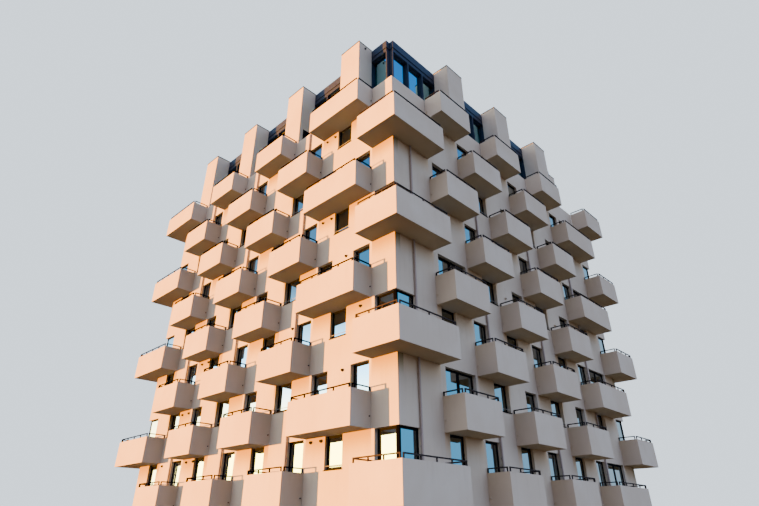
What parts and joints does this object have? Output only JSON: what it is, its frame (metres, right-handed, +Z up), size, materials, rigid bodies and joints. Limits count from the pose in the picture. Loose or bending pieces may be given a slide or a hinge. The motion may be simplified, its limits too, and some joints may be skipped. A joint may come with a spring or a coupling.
{
  "type": "apartment block",
  "caption": "Square apartment tower with staggered box balconies, wrap-round corner balconies and a glazed setback top.",
  "frame": {"origin": "middle of the plan at ground level", "axes": "+Z up, -Y out of the front face, +X out of the right face"},
  "size_m": [24.57, 24.57, 28.79],
  "materials": {
    "render": "smooth painted render",
    "slab": "plain concrete",
    "roof_metal": "satin anthracite cladding",
    "rail_steel": "satin dark paint",
    "pipe_metal": "matt brown paint",
    "window_frame": "dark powder coat",
    "window_glass": "clear polished"
  },
  "bodies": {
    "root": {"ground_slab": "slab", "front_wall": "render", "right_wall": "render", "back_wall": "render", "left_wall": "render", "sill_walls": "render", "floor_1": "render", "floor_2": "render", "floor_3": "render", "floor_4": "render", "floor_5": "render", "floor_6": "render", "floor_7": "render", "floor_8": "render", "tubs_1": "render", "tubs_2": "render", "tubs_3": "render", "tubs_4": "render", "tubs_5": "render", "tubs_6": "render", "tubs_7": "render", "tubs_8": "render", "terrace_parapet": "render", "roof_piers": "render", "roof_pier_caps": "roof_metal", "top_floor": "slab", "top_posts": "roof_metal", "top_beam": "roof_metal", "roof_slab": "slab", "roof_fascia": "roof_metal", "downpipes": "pipe_metal", "front_handrails": "rail_steel", "right_handrails": "rail_steel", "back_handrails": "rail_steel", "left_handrails": "rail_steel"}
  },
  "joints": []
}
